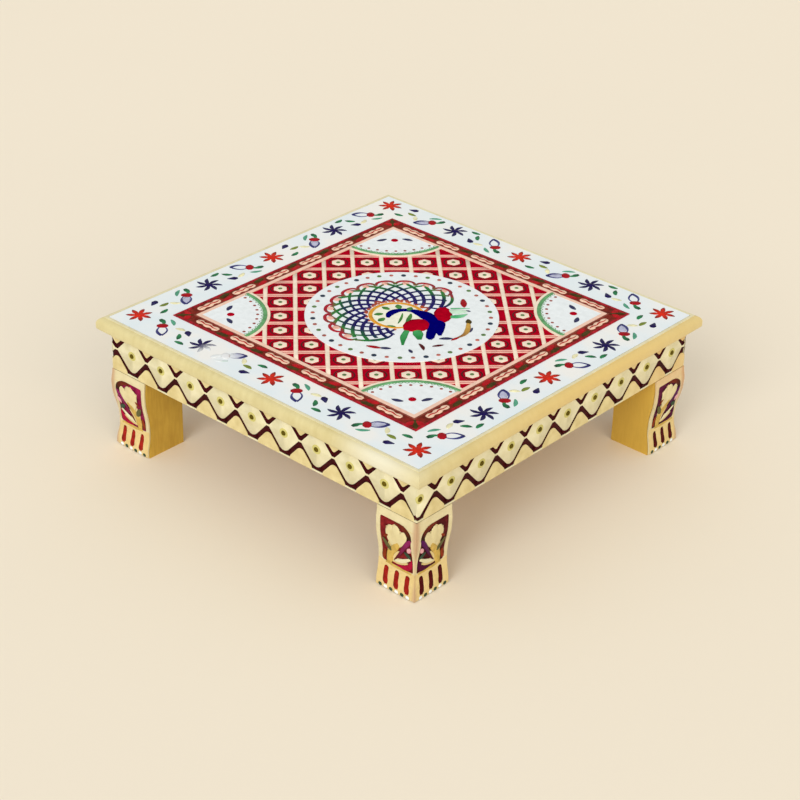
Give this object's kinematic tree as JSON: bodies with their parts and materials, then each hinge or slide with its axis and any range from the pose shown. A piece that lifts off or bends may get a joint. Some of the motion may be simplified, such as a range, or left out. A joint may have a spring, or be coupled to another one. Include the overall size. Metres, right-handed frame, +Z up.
{
  "type": "low table",
  "caption": "Low square wooden table with an enamelled patterned top, half-round beading, embossed apron strips and short shaped legs with embossed plates.",
  "frame": {"origin": "on the floor, under the middle of the table", "axes": "+Z up; the four sides face -Y (front), +X (right), +Y (back) and -X (left)"},
  "size_m": [0.305, 0.305, 0.103],
  "materials": {
    "plywood": "sanded, unpainted",
    "white_enamel": "glossy white enamel with painted ornament",
    "light_gold_paint": "satin pale gold paint on wood",
    "dark_gold_paint": "matt mustard gold paint on wood",
    "embossed_metal": "embossed sheet with pale gold lacquer and enamel paint in the recesses",
    "zinc_plated_steel": "zinc plated"
  },
  "bodies": {
    "root": {"top_board": "plywood", "enamel_top_sheet": "white_enamel", "edge_beading_front": "light_gold_paint", "edge_beading_right": "light_gold_paint", "edge_beading_back": "light_gold_paint", "edge_beading_left": "light_gold_paint", "apron_rail_front": "dark_gold_paint", "apron_rail_right": "dark_gold_paint", "apron_rail_back": "dark_gold_paint", "apron_rail_left": "dark_gold_paint", "apron_strip_front_right": "embossed_metal", "apron_strip_back_left": "embossed_metal", "leg_front_left": "dark_gold_paint", "leg_front_right": "dark_gold_paint", "leg_back_right": "dark_gold_paint", "leg_back_left": "dark_gold_paint", "leg_plate_front_left_front": "embossed_metal", "leg_plate_front_left_left": "embossed_metal", "leg_plate_front_right_front": "embossed_metal", "leg_plate_front_right_right": "embossed_metal", "leg_plate_back_right_back": "embossed_metal", "leg_plate_back_right_right": "embossed_metal", "leg_plate_back_left_back": "embossed_metal", "leg_plate_back_left_left": "embossed_metal", "leg_screw_front_left": "zinc_plated_steel", "leg_screw_front_right": "zinc_plated_steel", "leg_screw_back_right": "zinc_plated_steel", "leg_screw_back_left": "zinc_plated_steel", "rail_screw_front_left_front": "zinc_plated_steel", "rail_screw_front_left_left": "zinc_plated_steel", "rail_screw_front_right_front": "zinc_plated_steel", "rail_screw_front_right_right": "zinc_plated_steel", "rail_screw_back_right_back": "zinc_plated_steel", "rail_screw_back_right_right": "zinc_plated_steel", "rail_screw_back_left_back": "zinc_plated_steel", "rail_screw_back_left_left": "zinc_plated_steel"}
  },
  "joints": []
}
